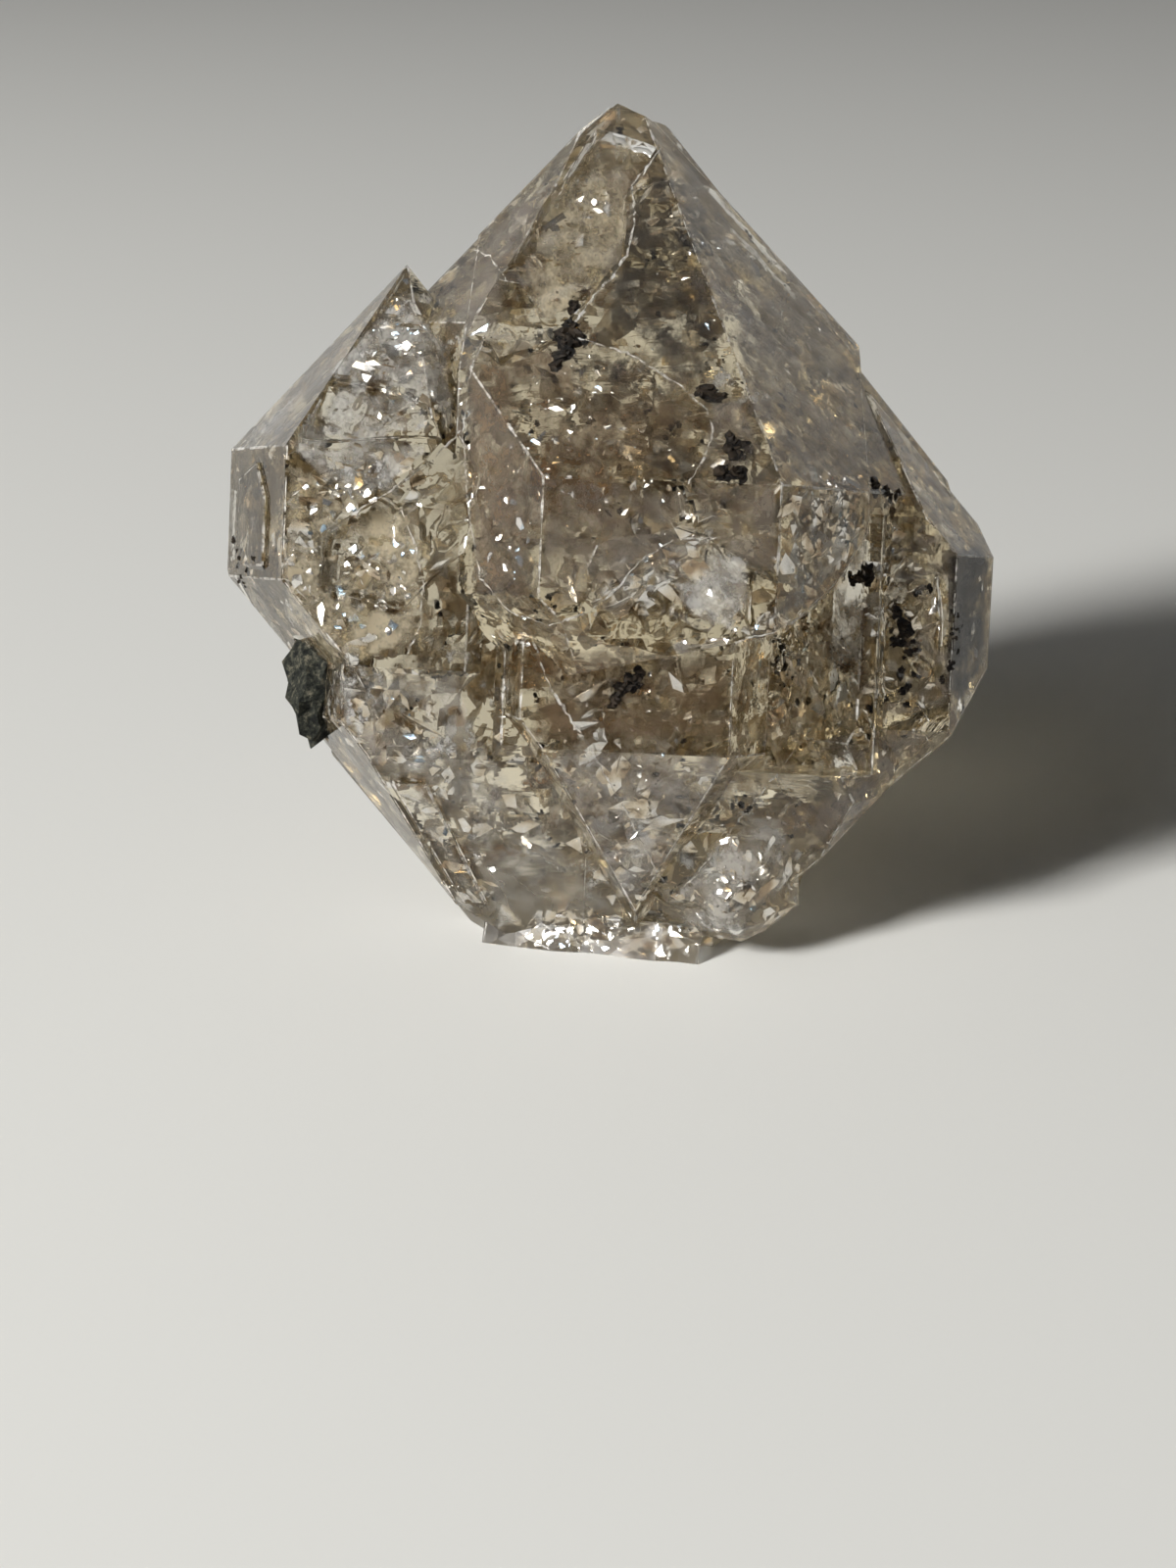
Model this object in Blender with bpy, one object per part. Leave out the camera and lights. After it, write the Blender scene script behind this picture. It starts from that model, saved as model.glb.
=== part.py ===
"""Herkimer diamond: a doubly terminated smoky quartz cluster that stands on a small broken flat.

The quartz is one solid. Several crystals grew through each other, nearly parallel, and each is
modelled as the space inside its own prism and termination faces. The crystals are joined, then
growth plates are added, fractures are cut and the foot is cut flat. A crumb of host rock sits in a
pocket in the left notch.

Cluster frame, before the cluster is leaned: +X to the right, +Y away from the show side, +Z up along
the main crystal's long axis, in millimetres, with the origin at the middle of the main crystal.
"""

import math

import bmesh
import bpy
from mathutils import Matrix, Vector, noise

MM = 0.001

# Stance: the long axis leans back and a little to the right, and the foot is cut by the floor.
# OUTLINE_MIDDLE is the middle of the standing object's plan, which goes over the origin.
LEAN_BACK = math.radians(17.5)
LEAN_RIGHT = math.radians(2.5)
MIDDLE_ABOVE_FLOOR = 35.0
OUTLINE_MIDDLE = (0.725, 0.266)

# Quartz geometry: every termination face makes this angle with the long axis.
FACE_TO_AXIS = math.radians(38.2)
BLANK = 160.0
NOISE_SEED = 4

# A crystal is its axis (x, y) and three lists of faces. "up" and "down" rows are the azimuth in
# degrees (0 faces the show side, 90 the right) and the height where the face's plane meets the axis.
# "side" rows are the azimuth and the distance from the axis.
MAIN_BODY = {
    "axis": (0.0, 0.0),
    "up": ((-2.5, 45.6), (51.3, 48.1), (102.0, 51.2), (156.0, 49.0), (-154.0, 49.0), (-105.0, 47.1), (-47.8, 48.2)),
    "side": ((-2.5, 21.0), (52.0, 31.5), (104.0, 32.0), (158.0, 27.0), (-155.0, 25.0), (-105.0, 26.0), (-50.0, 20.0)),
    "down": (
        (-2.5, -44.1), (57.5, -61.6), (100.0, -53.2), (140.0, -50.0), (177.5, -53.0), (-122.5, -50.0), (-62.5, -50.0),
    ),
}
CROWN = {
    "axis": (0.0, 0.0),
    "up": ((-2.5, 46.0), (51.3, 48.4), (-47.8, 48.6), (-105.0, 47.4)),
    "side": ((-2.5, 30.0), (51.3, 31.8), (90.0, 25.3), (180.0, 0.0), (-92.5, 13.3), (-47.8, 24.2)),
    "down": ((-2.5, -43.3), (-47.8, -34.0)),
}
LOWER_COLUMN = {
    "axis": (0.0, 0.0),
    "up": ((-2.5, 24.5), (64.4, 30.0), (-70.0, 11.6)),
    "side": ((-2.5, 24.8), (64.4, 22.5), (87.5, 17.4), (180.0, 0.0), (-92.5, 13.0), (-70.0, 15.0)),
    "down": ((-2.5, -48.9), (64.4, -46.0), (-73.0, -32.4)),
}
LEFT_FOOT = {
    "axis": (0.0, 0.0),
    "up": ((-2.5, 22.0), (-70.0, 30.0), (-130.0, 26.0)),
    "side": ((-2.5, 20.1), (90.0, 0.0), (180.0, 16.0), (-130.0, 22.0), (-70.0, 29.3)),
    "down": ((-2.5, -44.6), (-70.0, -53.2), (-130.0, -41.0)),
}
LEFT_CRYSTAL = {
    "axis": (-20.4, -6.0),
    "up": ((-2.5, 28.8), (36.0, 28.9), (100.0, 28.8), (177.5, 29.5), (-125.0, 28.9), (-66.0, 28.8)),
    "side": ((-2.5, 14.9), (50.0, 16.0), (117.5, 14.0), (177.5, 15.0), (-125.0, 14.9), (-66.0, 14.8)),
    "down": ((-2.5, -29.5), (57.5, -30.0), (177.5, -26.0), (-125.0, -21.0), (-66.0, -21.5)),
}
RIGHT_CRYSTAL = {
    "axis": (25.0, 2.0),
    "up": ((-2.5, 27.8), (57.5, 24.6), (117.5, 15.0), (177.5, 20.0), (-122.5, 24.0), (-62.5, 22.0)),
    "side": ((-2.5, 17.2), (57.5, 17.4), (117.5, 7.3), (177.5, 12.0), (-122.5, 12.0), (-62.5, 7.6)),
    "down": (
        (-2.5, -36.5), (57.5, -37.2), (100.0, -23.4), (140.0, -28.2), (177.5, -26.0), (-122.5, -28.0), (-62.5, -26.0),
    ),
}

QUARTZ_COLOUR = (0.62, 0.56, 0.50, 1.0)
CRUST_COLOUR = (0.20, 0.19, 0.15, 1.0)


def outward(azimuth):
    """Level unit vector at an azimuth in degrees: 0 faces the show side and 90 faces right."""
    angle = math.radians(azimuth)
    return Vector((math.sin(angle), -math.cos(angle), 0.0))


def crystal_planes(crystal):
    """The faces of one crystal as (point, outward normal)."""
    foot = Vector((*crystal["axis"], 0.0))
    rise = Vector((0.0, 0.0, math.sin(FACE_TO_AXIS)))
    planes = []
    for azimuth, distance in crystal["side"]:
        planes.append((foot + outward(azimuth) * distance, outward(azimuth)))
    for azimuth, height in crystal["up"]:
        planes.append((foot + Vector((0, 0, height)), outward(azimuth) * math.cos(FACE_TO_AXIS) + rise))
    for azimuth, height in crystal["down"]:
        planes.append((foot + Vector((0, 0, height)), outward(azimuth) * math.cos(FACE_TO_AXIS) - rise))
    return planes


def trim(bm, planes):
    """Keeps what lies behind all of the planes and closes the cuts."""
    for point, normal in planes:
        everything = bm.verts[:] + bm.edges[:] + bm.faces[:]
        cut = bmesh.ops.bisect_plane(bm, geom=everything, plane_co=point, plane_no=normal, clear_outer=True)
        rim = [item for item in cut["geom_cut"] if isinstance(item, bmesh.types.BMEdge)]
        if len(rim) > 2:
            bmesh.ops.contextual_create(bm, geom=rim)
    bmesh.ops.remove_doubles(bm, verts=bm.verts, dist=0.001)
    return bm


def convex_block(planes):
    """The space behind all of the planes, as a bmesh."""
    bm = bmesh.new()
    bmesh.ops.create_cube(bm, size=BLANK)
    return trim(bm, planes)


def roughen(bm, cell, amount, seed):
    """Splits a block into cells about that wide and moves every corner, which leaves a broken surface."""
    bmesh.ops.triangulate(bm, faces=bm.faces)
    for _ in range(8):
        long_edges = [edge for edge in bm.edges if edge.calc_length() > cell * 1.5]
        if not long_edges:
            break
        bmesh.ops.subdivide_edges(bm, edges=long_edges, cuts=1)
        bmesh.ops.triangulate(bm, faces=bm.faces)
    for vert in bm.verts:
        spot = vert.co / (cell * 2.2) + Vector((seed * 7.3, seed * 3.1, seed * 5.7))
        fine = vert.co / (cell * 0.9) + Vector((seed * 2.9, seed * 8.3, seed * 1.7))
        vert.co += noise.noise_vector(spot) * amount + noise.noise_vector(fine) * amount * 0.45
    return bm


def lump(centre, radii, amount, seed, grow=0.0, detail=3):
    """An uneven rounded lump. grow moves its whole surface outward."""
    bm = bmesh.new()
    bmesh.ops.create_icosphere(bm, subdivisions=detail, radius=1.0)
    for vert in bm.verts:
        way = vert.co.copy()
        size = 1.0 + amount * noise.noise(way * 2.1 + Vector((seed, seed * 2.0, seed * 3.0)))
        size += amount * 0.5 * noise.noise(way * 5.3 + Vector((seed * 3.0, seed, seed * 2.0)))
        vert.co = Vector((way.x * radii[0], way.y * radii[1], way.z * radii[2])) * size
    bm.normal_update()
    shifts = [vert.normal * grow for vert in bm.verts]
    for vert, shift in zip(bm.verts, shifts):
        vert.co += shift + Vector(centre)
    return bm


def plate(crystal, kind, row, outline, below, above):
    """A flat-topped prism across one face of a crystal, from below the face to above it.

    outline is a list of (across, up) in mm: across runs along the face's level line from the point
    that faces straight out from the axis, and up is the height in the cluster frame.
    """
    azimuth, reach = crystal[kind][row]
    level = outward(azimuth)
    across = Vector((0, 0, 1)).cross(level)
    foot = Vector((*crystal["axis"], 0.0))
    sign = {"side": 0.0, "up": 1.0, "down": -1.0}[kind]
    normal = level * (math.cos(FACE_TO_AXIS) if sign else 1.0) + Vector((0, 0, sign * math.sin(FACE_TO_AXIS)))
    bm = bmesh.new()
    rings = []
    for offset in (-below, above):
        ring = []
        for along, height in outline:
            out = reach if kind == "side" else sign * (reach - height) * math.tan(FACE_TO_AXIS)
            spot = foot + level * out + across * along + Vector((0, 0, height)) + normal * offset
            ring.append(bm.verts.new(spot))
        rings.append(ring)
    bm.faces.new(rings[0])
    bm.faces.new(rings[1])
    for index in range(len(outline)):
        after = (index + 1) % len(outline)
        bm.faces.new((rings[0][index], rings[0][after], rings[1][after], rings[1][index]))
    bmesh.ops.recalc_face_normals(bm, faces=bm.faces)
    return bm


def growth_plate(crystal, kind, row, outline, above):
    """A plate that stands proud of a face and ends just inside the faces beside it."""
    azimuth, _ = crystal[kind][row]
    rise = {"side": 0.0, "up": 1.0, "down": -1.0}[kind] * math.sin(FACE_TO_AXIS)
    own = outward(azimuth) * math.sqrt(1.0 - rise * rise) + Vector((0, 0, rise))
    beside = []
    for point, normal in crystal_planes(crystal):
        if normal.dot(own) < 0.999:
            beside.append((point - normal * PLATE_INSET, normal))
    return trim(plate(crystal, kind, row, outline, 4.0, above), beside)


def mesh_object(name, bm, colour=None):
    """Turns a bmesh in millimetres into an object."""
    bmesh.ops.recalc_face_normals(bm, faces=bm.faces)
    bmesh.ops.scale(bm, vec=(MM, MM, MM), verts=bm.verts)
    mesh = bpy.data.meshes.new(name)
    bm.to_mesh(mesh)
    bm.free()
    obj = bpy.data.objects.new(name, mesh)
    bpy.context.scene.collection.objects.link(obj)
    if colour is not None:
        mesh.materials.append(plain_material(name, colour))
    return obj


def plain_material(name, colour):
    material = bpy.data.materials.new(name)
    material.use_nodes = True
    shader = material.node_tree.nodes["Principled BSDF"]
    shader.inputs["Base Color"].default_value = colour
    shader.inputs["Roughness"].default_value = 0.1 if colour is QUARTZ_COLOUR else 0.9
    shader.inputs["Metallic"].default_value = 0.0
    return material


def boolean(target, name, bm, operation):
    """Adds a Boolean to target. The tool is never drawn itself."""
    tool = mesh_object(name, bm)
    tool.hide_render = True
    tool.display_type = "WIRE"
    modifier = target.modifiers.new(name, "BOOLEAN")
    modifier.operation = operation
    modifier.solver = "EXACT"
    modifier.object = tool


def block(x_range, y_range, z_range, extra=()):
    """An upright box with extra planes, as a bmesh."""
    planes = list(extra)
    for index, (low, high) in enumerate((x_range, y_range, z_range)):
        axis = Vector([1.0 if index == step else 0.0 for step in range(3)])
        planes.append((axis * low, -axis))
        planes.append((axis * high, axis))
    return convex_block(planes)


# The crown's lower right corner is a rounded wing, cut by these planes: a point and its normal.
WING = (
    (Vector((23.5, 0.0, 1.4)), Vector((0.835, 0.0, -0.55))),
    (Vector((19.4, 0.0, -3.3)), Vector((0.673, 0.0, -0.74))),
    (Vector((14.9, 0.0, -6.0)), Vector((0.243, 0.0, -0.97))),
)
CRUST_CENTRE = (-26.9, -8.8, -12.8)
CRUST_RADII = (3.4, 4.8, 5.6)
CRUST_GAP = 0.35

# Breaks: outlines are (across, up) in mm on the face they cut.
FACE_BREAK = (
    (-2.2, 43.5), (4.2, 41.5), (1.5, 37.2), (1.3, 30.0), (-1.4, 25.7), (-4.4, 21.1), (-9.5, 19.0),
    (-13.5, 22.5), (-9.5, 30.0), (-6.0, 36.0),
)
LEFT_LEDGE = ((6.7, 12.0), (4.0, 9.1), (0.5, 5.7), (-4.9, 1.8), (-5.5, -3.5), (2.5, -5.0), (8.0, 0.5), (9.5, 8.0))
LEFT_SHELF = ((-6.0, 16.4), (0.5, 15.9), (3.6, 14.6), (5.4, 11.6), (-7.6, 10.6))
RIGHT_PIT = ((3.4, -11.0), (3.0, -1.5), (5.2, 2.0), (8.6, 0.6), (8.9, -8.5), (6.3, -12.0))

PLATE_INSET = 0.5

# Growth plates stand proud of a face: crystal, kind, row, outline, height above the face.
GROWTH_PLATES = (
    (MAIN_BODY, "side", 3, ((-9.5, -15.0), (-9.5, 5.0), (-4.0, 11.5), (8.5, 11.5), (8.5, -6.0), (2.0, -15.0)), 0.9),
    (MAIN_BODY, "side", 3, ((-6.5, -9.0), (-6.5, 2.5), (-2.0, 7.5), (5.5, 7.5), (5.5, -3.0), (0.5, -9.0)), 1.8),
    (MAIN_BODY, "side", 4, ((-8.0, -13.0), (-8.0, 4.0), (-2.5, 10.0), (7.0, 10.0), (7.0, -9.0), (3.0, -13.0)), 0.8),
    (MAIN_BODY, "up", 4, ((-11.0, 18.5), (4.5, 18.5), (8.0, 22.0), (3.0, 34.0), (-2.5, 34.0)), 0.7),
    (MAIN_BODY, "up", 4, ((-7.0, 20.5), (2.5, 20.5), (4.0, 22.5), (1.5, 29.5), (-1.5, 29.5)), 1.4),
    (MAIN_BODY, "up", 2, ((-6.0, 16.5), (9.0, 16.5), (4.5, 28.0), (-1.0, 28.0)), 0.6),
    (MAIN_BODY, "down", 4, ((-10.0, -22.5), (9.0, -22.5), (3.5, -33.0), (-5.0, -31.0)), 0.8),
    (MAIN_BODY, "down", 5, ((-9.5, -19.0), (8.0, -19.0), (5.0, -30.0), (-4.0, -30.0)), 0.7),
    (MAIN_BODY, "down", 5, ((-6.0, -20.8), (5.5, -20.8), (3.0, -27.0), (-2.5, -27.0)), 1.4),
    (LEFT_FOOT, "down", 0, ((-20.0, -21.5), (-15.0, -21.5), (-9.5, -34.0), (-12.5, -34.0)), 0.45),
    (LEFT_CRYSTAL, "side", 5, ((-4.5, -1.0), (-4.5, 7.0), (1.0, 8.5), (4.0, 5.0), (4.0, -3.0)), 0.35),
    (LEFT_CRYSTAL, "side", 4, ((-5.0, -2.0), (-5.0, 6.0), (4.5, 6.0), (4.5, 0.5), (1.0, -2.5)), 0.7),
)

# Hopper pits, where the edges of a face outgrew its middle: crystal, kind, row, outline, depth.
HOPPER_PITS = (
    (MAIN_BODY, "up", 3, ((-8.5, 18.0), (8.0, 18.0), (4.0, 33.0), (-2.0, 35.5)), 0.9),
    (MAIN_BODY, "up", 3, ((-5.5, 20.0), (5.0, 20.0), (2.5, 29.0), (-1.0, 30.5)), 1.9),
    (MAIN_BODY, "down", 3, ((-7.0, -18.5), (6.0, -18.5), (3.0, -26.0), (-4.5, -26.0)), 1.0),
)


def grow_plates(quartz):
    for index, (crystal, kind, row, outline, above) in enumerate(GROWTH_PLATES):
        boolean(quartz, f"growth_plate_{index}", growth_plate(crystal, kind, row, outline, above), "UNION")
    for index, (crystal, kind, row, outline, depth) in enumerate(HOPPER_PITS):
        boolean(quartz, f"hopper_pit_{index}", plate(crystal, kind, row, outline, depth, 4.0), "DIFFERENCE")


def cut_fractures(quartz):
    slope = Vector((-0.42, 0.1, -0.9))
    tip = block((-9.0, 14.0), (-12.0, 14.0), (36.0, 58.0), [(Vector((3.0, 0.0, 45.3)), slope)])
    boolean(quartz, "tip_break", roughen(tip, 2.4, 0.7, 1), "DIFFERENCE")
    face_break = plate(CROWN, "up", 0, FACE_BREAK, 1.5, 4.0)
    boolean(quartz, "face_break", roughen(face_break, 2.2, 0.75, 2), "DIFFERENCE")
    boolean(quartz, "crown_scoop", lump((5.5, -32.6, -4.3), (9.2, 4.8, 9.0), 0.16, 4.0), "DIFFERENCE")
    ledge = plate(LEFT_CRYSTAL, "side", 0, LEFT_LEDGE, 1.3, 4.0)
    boolean(quartz, "left_ledge", roughen(ledge, 2.6, 0.6, 3), "DIFFERENCE")
    shelf = plate(LEFT_CRYSTAL, "up", 0, LEFT_SHELF, 0.8, 3.0)
    boolean(quartz, "left_shelf", roughen(shelf, 2.4, 0.4, 8), "DIFFERENCE")
    pit = plate(RIGHT_CRYSTAL, "side", 0, RIGHT_PIT, 1.1, 3.0)
    boolean(quartz, "right_pit", roughen(pit, 2.4, 0.5, 9), "DIFFERENCE")


def build_quartz():
    quartz = mesh_object("quartz", convex_block(crystal_planes(MAIN_BODY)), QUARTZ_COLOUR)
    recess = block((13.0, 27.0), (-50.0, 0.0), (-19.0, 6.0), [(outward(52.0) * 21.0, -outward(52.0))])
    boolean(quartz, "side_recess", recess, "DIFFERENCE")
    boolean(quartz, "crown", convex_block(crystal_planes(CROWN) + list(WING)), "UNION")
    boolean(quartz, "lower_column", convex_block(crystal_planes(LOWER_COLUMN)), "UNION")
    boolean(quartz, "left_foot", convex_block(crystal_planes(LEFT_FOOT)), "UNION")
    boolean(quartz, "left_crystal", convex_block(crystal_planes(LEFT_CRYSTAL)), "UNION")
    boolean(quartz, "right_crystal", convex_block(crystal_planes(RIGHT_CRYSTAL)), "UNION")
    grow_plates(quartz)
    boolean(quartz, "foot_chip", lump((14.0, -9.0, -27.8), (8.0, 7.2, 8.8), 0.25, 3.0), "UNION")
    toe_faces = [
        (Vector((0.0, -7.0, -40.0)), Vector((-0.22, -0.97, 0.0))),
        (Vector((0.0, -9.0, -37.6)), Vector((-0.1, -0.8, 0.6))),
    ]
    toe = block((-10.0, 11.5), (-13.0, 6.0), (-43.0, -35.4), toe_faces)
    boolean(quartz, "toe", roughen(toe, 2.6, 0.8, 6), "UNION")
    cut_fractures(quartz)
    boolean(quartz, "crust_pocket", lump(CRUST_CENTRE, CRUST_RADII, 0.45, 5.0, CRUST_GAP), "DIFFERENCE")
    return quartz


def build_crust():
    return mesh_object("matrix_crust", lump(CRUST_CENTRE, CRUST_RADII, 0.45, 5.0), CRUST_COLOUR)


def stand_on_floor(objects):
    """Leans the cluster back and right and sets it on the floor."""
    lean = Matrix.Rotation(-LEAN_BACK, 4, "X") @ Matrix.Rotation(LEAN_RIGHT, 4, "Y")
    middle = Vector((-OUTLINE_MIDDLE[0], -OUTLINE_MIDDLE[1], MIDDLE_ABOVE_FLOOR))
    place = Matrix.Translation(middle * MM) @ lean
    for obj in objects:
        obj.matrix_world = place


def cut_foot(quartz):
    boolean(quartz, "floor", block((-79.0, 79.0), (-79.0, 79.0), (-79.0, 0.0)), "DIFFERENCE")


def build():
    for obj in list(bpy.data.objects):
        bpy.data.objects.remove(obj)
    noise.seed_set(NOISE_SEED)
    quartz = build_quartz()
    build_crust()
    stand_on_floor([obj for obj in bpy.data.objects if obj.type == "MESH"])
    cut_foot(quartz)


build()
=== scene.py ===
"""Looks of the Herkimer diamond cluster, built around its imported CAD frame."""

import math
import random

import bmesh
import bpy
from mathutils import Matrix, Vector, noise
from mathutils.bvhtree import BVHTree


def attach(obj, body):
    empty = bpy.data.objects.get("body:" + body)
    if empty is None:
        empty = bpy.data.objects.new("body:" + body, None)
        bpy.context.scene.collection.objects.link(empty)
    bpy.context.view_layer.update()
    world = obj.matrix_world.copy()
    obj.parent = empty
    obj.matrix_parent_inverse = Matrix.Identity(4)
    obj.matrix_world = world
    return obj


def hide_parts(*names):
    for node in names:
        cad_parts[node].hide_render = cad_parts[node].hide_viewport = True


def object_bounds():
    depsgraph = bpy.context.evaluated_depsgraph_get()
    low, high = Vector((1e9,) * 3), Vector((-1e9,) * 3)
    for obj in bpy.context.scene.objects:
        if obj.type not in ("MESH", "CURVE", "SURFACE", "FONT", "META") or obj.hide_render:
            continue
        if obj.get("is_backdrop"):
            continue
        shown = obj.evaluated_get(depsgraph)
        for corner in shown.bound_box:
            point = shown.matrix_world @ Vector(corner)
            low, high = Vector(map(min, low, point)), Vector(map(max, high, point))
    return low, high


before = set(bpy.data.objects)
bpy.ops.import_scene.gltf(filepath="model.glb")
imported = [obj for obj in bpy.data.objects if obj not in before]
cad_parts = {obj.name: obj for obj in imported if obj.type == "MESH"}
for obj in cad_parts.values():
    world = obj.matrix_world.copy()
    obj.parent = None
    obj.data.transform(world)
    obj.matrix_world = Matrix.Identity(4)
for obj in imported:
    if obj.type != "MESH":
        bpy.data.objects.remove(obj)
cad_low, cad_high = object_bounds()

MM = 0.001
WELD = 1e-6  # points closer than this, in metres, become one
FULL_TURN = 6.28  # radians, for random spins
QUARTZ_IOR = 1.544
HAZE_IOR = 1.2  # thin clouds of bubbles bend light less than a clean gap does
noise.seed_set(7)
rng = random.Random(11)

# The photograph's camera: its place, how far it looks down, and its focal length in photo pixels.
CAMERA_PLACE = Vector((-0.001925, -0.26823121, 0.11921365))
CAMERA_TILT = math.radians(68.0)
FOCAL_PX = 2800.0
PHOTO_SIZE = (1200, 1600)
SENSOR_MM = 36.0
MIDDLE = Vector((0, 0, 0.04))  # what the lights look at

# Lights: azimuth, elevation, distance and size in metres, and power in watts.
KEY = (-48, 27, 1.8, 0.36, 52.0)
KEY_SOFT = (-48, 36, 1.8, 0.9, 5.0)
LIGHT_COLOUR = (1.0, 0.99, 0.975)


def make_camera():
    data = bpy.data.cameras.new("camera")
    data.lens = FOCAL_PX / max(PHOTO_SIZE) * SENSOR_MM
    data.sensor_width = SENSOR_MM
    data.clip_start = 0.01
    camera = bpy.data.objects.new("camera", data)
    camera.location = CAMERA_PLACE
    camera.rotation_euler = (CAMERA_TILT, 0.0, 0.0)
    bpy.context.scene.collection.objects.link(camera)
    bpy.context.scene.camera = camera


def area_light(name, azimuth, elevation, distance, size, power):
    """A square soft light that looks at the cluster. Azimuth 0 is the camera's side, 90 the right."""
    data = bpy.data.lights.new(name, "AREA")
    data.size = size
    data.energy = power
    data.color = LIGHT_COLOUR
    light = bpy.data.objects.new(name, data)
    a, e = math.radians(azimuth), math.radians(elevation)
    back = Vector((math.sin(a) * math.cos(e), -math.cos(a) * math.cos(e), math.sin(e)))
    light.location = MIDDLE + back * distance
    light.rotation_mode = "QUATERNION"
    light.rotation_quaternion = back.to_track_quat("Z", "Y")
    light.visible_camera = False
    bpy.context.scene.collection.objects.link(light)


def new_material(name, values):
    """A material, with values for some of its shader's sockets."""
    material = bpy.data.materials.new(name)
    material.use_nodes = True
    shader = material.node_tree.nodes["Principled BSDF"]
    for socket, value in values.items():
        shader.inputs[socket].default_value = value
    return material, material.node_tree.nodes, material.node_tree.links, shader


def new_piece(name, bm, material):
    mesh = bpy.data.meshes.new(name)
    bm.to_mesh(mesh)
    bm.free()
    mesh.materials.append(material)
    piece = bpy.data.objects.new(name, mesh)
    bpy.context.scene.collection.objects.link(piece)
    return piece


def ramp(nodes, links, source, stops):
    """A colour or grey ramp over a node's Fac output."""
    node = nodes.new("ShaderNodeValToRGB")
    elements = node.color_ramp.elements
    while len(elements) < len(stops):
        elements.new(0.5)
    for element, (place, value) in zip(elements, stops):
        element.position = place
        element.color = value if isinstance(value, tuple) else (value, value, value, 1.0)
    links.new(source, node.inputs["Fac"])
    return node.outputs["Color"]


def math_node(nodes, links, operation, *values):
    node = nodes.new("ShaderNodeMath")
    node.operation = operation
    for socket, value in zip(node.inputs, values):
        if isinstance(value, float):
            socket.default_value = value
        else:
            links.new(value, socket)
    return node.outputs["Value"]


def attribute_node(nodes, name):
    node = nodes.new("ShaderNodeAttribute")
    node.attribute_name = name
    return node.outputs["Fac"]


def noise_node(nodes, links, scale, detail=4.0, rough=0.55, stretch=(1, 1, 1), turn=(0, 0, 0)):
    where = nodes.new("ShaderNodeTexCoord")
    mapping = nodes.new("ShaderNodeMapping")
    mapping.inputs["Scale"].default_value = stretch
    mapping.inputs["Rotation"].default_value = [math.radians(x) for x in turn]
    texture = nodes.new("ShaderNodeTexNoise")
    texture.inputs["Scale"].default_value = scale
    texture.inputs["Detail"].default_value = detail
    texture.inputs["Roughness"].default_value = rough
    links.new(where.outputs["Object"], mapping.inputs["Vector"])
    links.new(mapping.outputs["Vector"], texture.inputs["Vector"])
    return texture.outputs["Fac"]


def add_bump(nodes, links, height, strength, distance, below=None):
    bump = nodes.new("ShaderNodeBump")
    bump.inputs["Strength"].default_value = strength
    bump.inputs["Distance"].default_value = distance
    links.new(height, bump.inputs["Height"])
    if below is not None:
        links.new(below, bump.inputs["Normal"])
    return bump.outputs["Normal"]


def quartz_material():
    """Clear quartz with a warm tint that deepens with thickness, and rougher breaks, foot and tip."""
    material, nodes, links, shader = new_material("quartz_clear", {
        "Base Color": (1.0, 1.0, 1.0, 1.0), "Transmission Weight": 1.0, "IOR": QUARTZ_IOR,
    })
    broad = noise_node(nodes, links, 260.0, 1.0)
    fine = noise_node(nodes, links, 1500.0, 1.0, stretch=(0.25, 1.0, 1.0))
    wavy = add_bump(nodes, links, broad, 0.35, 0.0004)
    links.new(add_bump(nodes, links, fine, 0.25, 0.00008, wavy), shader.inputs["Normal"])
    level = ramp(nodes, links, broad, [(0.45, 0.0), (0.75, 0.06)])
    level = math_node(nodes, links, "MULTIPLY_ADD", attribute_node(nodes, "broken"), 0.06, level)
    level = math_node(nodes, links, "MULTIPLY_ADD", attribute_node(nodes, "frosted"), 0.4, level)
    links.new(level, shader.inputs["Roughness"])
    absorb = nodes.new("ShaderNodeVolumeAbsorption")
    absorb.inputs["Color"].default_value = (0.72, 0.56, 0.14, 1.0)
    absorb.inputs["Density"].default_value = 15.0
    links.new(absorb.outputs["Volume"], nodes["Material Output"].inputs["Volume"])
    return material


def fracture_material():
    """Thin air gaps inside the quartz: mirror-bright at a slant, clear face on."""
    material, nodes, links, shader = new_material("fracture_silver", {
        "Base Color": (1.0, 1.0, 1.0, 1.0), "Transmission Weight": 1.0, "IOR": QUARTZ_IOR, "Roughness": 0.04,
    })
    grain = noise_node(nodes, links, 900.0, 1.0, 0.6)
    links.new(add_bump(nodes, links, grain, 0.5, 0.0002), shader.inputs["Normal"])
    return material


def veil_material(name, colour, mask, clear):
    """Clouds of tiny bubbles, healed cracks and stains: a thin haze that is thick in places. Its darkest sheets
    on the right side are painted shade, and its pale band on the left is a painted reflection.
    """
    material, nodes, links, shader = new_material(name, {
        "Roughness": 0.5, "Transmission Weight": clear, "IOR": HAZE_IOR,
    })
    scale, stretch, turn, low, high, top = mask
    cloud = noise_node(nodes, links, scale, 4.0, 0.8, stretch=stretch, turn=turn)
    darker = tuple(c * 0.6 for c in colour[:3]) + (1,)
    links.new(ramp(nodes, links, cloud, [(0.42, darker), (0.62, colour)]), shader.inputs["Base Color"])
    fade_to_rim(nodes, links, shader, ramp(nodes, links, cloud, [(low, 0.0), (high, top)]))
    return material


def fade_to_rim(nodes, links, shader, level=None):
    """Lets a sheet's alpha run out towards its rim."""
    if level is None:
        level = shader.inputs["Alpha"].default_value
    faded = math_node(nodes, links, "MULTIPLY", attribute_node(nodes, "fade"), level)
    links.new(faded, shader.inputs["Alpha"])


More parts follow.
